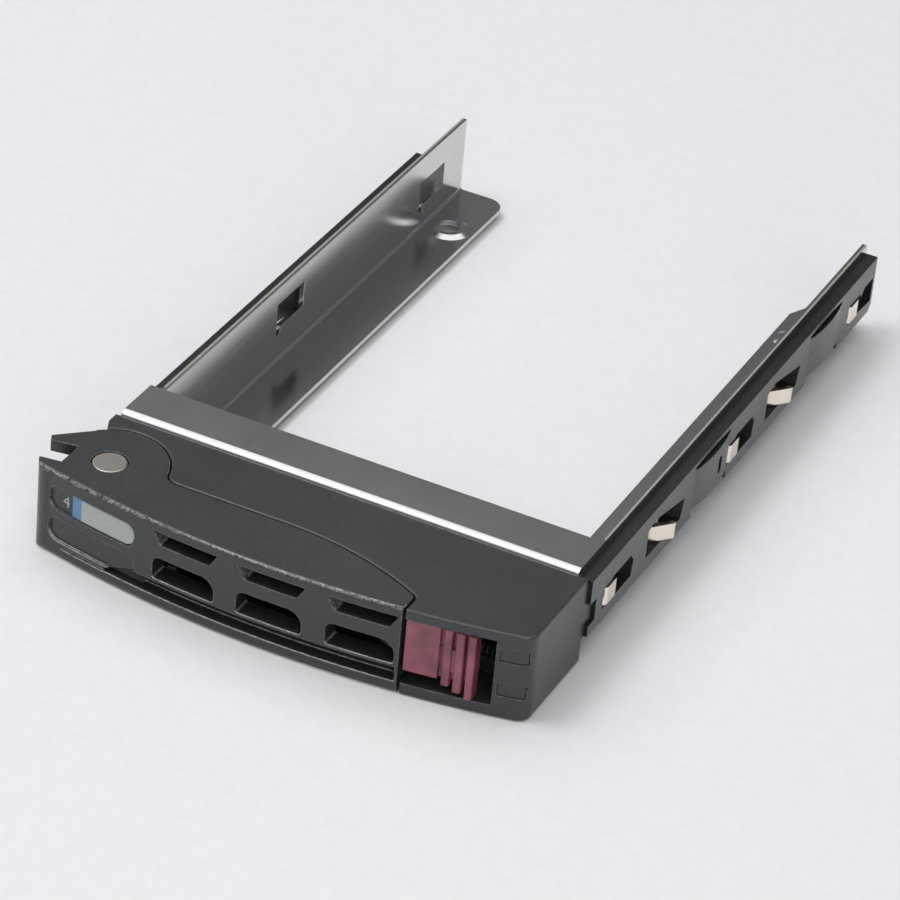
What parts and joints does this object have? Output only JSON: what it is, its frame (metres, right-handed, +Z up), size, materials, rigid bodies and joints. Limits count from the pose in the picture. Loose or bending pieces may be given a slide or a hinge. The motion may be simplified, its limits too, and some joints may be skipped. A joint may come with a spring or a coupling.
{
  "type": "hot swap drive caddy",
  "caption": "Slim steel and black plastic tray for a small server drive, with a curved front, a swinging ejector lever, a red release button and a sprung rail on each side.",
  "frame": {"origin": "centre of the four drive screw holes, at the underside of the frame's flanges", "axes": "+Y along the tray from the front lever to the open rear, +Z up through the thickness, +X to the right when the front is faced"},
  "size_m": [0.0826, 0.1296, 0.015],
  "materials": {
    "sheet_steel": "plain rolled sheet, lightly reflective",
    "black_plastic": "satin moulded plastic",
    "screw_steel": "plain zinc finish",
    "pin_steel": "dull turned face",
    "spring_steel": "bright drawn wire",
    "white_label": "pale satin label",
    "blue_label": "printed blue stripe",
    "red_plastic": "translucent dark red",
    "smoked_plastic": "smoked translucent light pipe"
  },
  "bodies": {
    "tray": {"tray_frame": "sheet_steel", "left_rail": "black_plastic", "right_rail": "black_plastic", "bezel_body": "black_plastic", "bezel_screws": "screw_steel", "lever_pin": "pin_steel", "pin_clip": "screw_steel", "lever_spring": "spring_steel", "button_spring": "spring_steel", "lower_light_pipe": "smoked_plastic", "upper_light_pipe": "smoked_plastic"},
    "lever_arm": {"lever": "black_plastic", "label_white": "white_label", "label_blue": "blue_label"},
    "button": {"release_button": "red_plastic"}
  },
  "joints": [
    {"name": "lever_hinge", "type": "hinge", "parent": "tray", "child": "lever_arm", "pos_m": [-0.0328, -0.0679, 0.0061], "axis": [0, 0, 1], "range_deg": [-30, 0], "deforming": ["lever_spring"]},
    {"name": "button_slide", "type": "slide", "parent": "tray", "child": "button", "axis": [1, 0, 0], "range_m": [0, 0.0025], "stiffness_N_per_m": 300, "springref_m": -0.001, "deforming": ["button_spring"]}
  ]
}
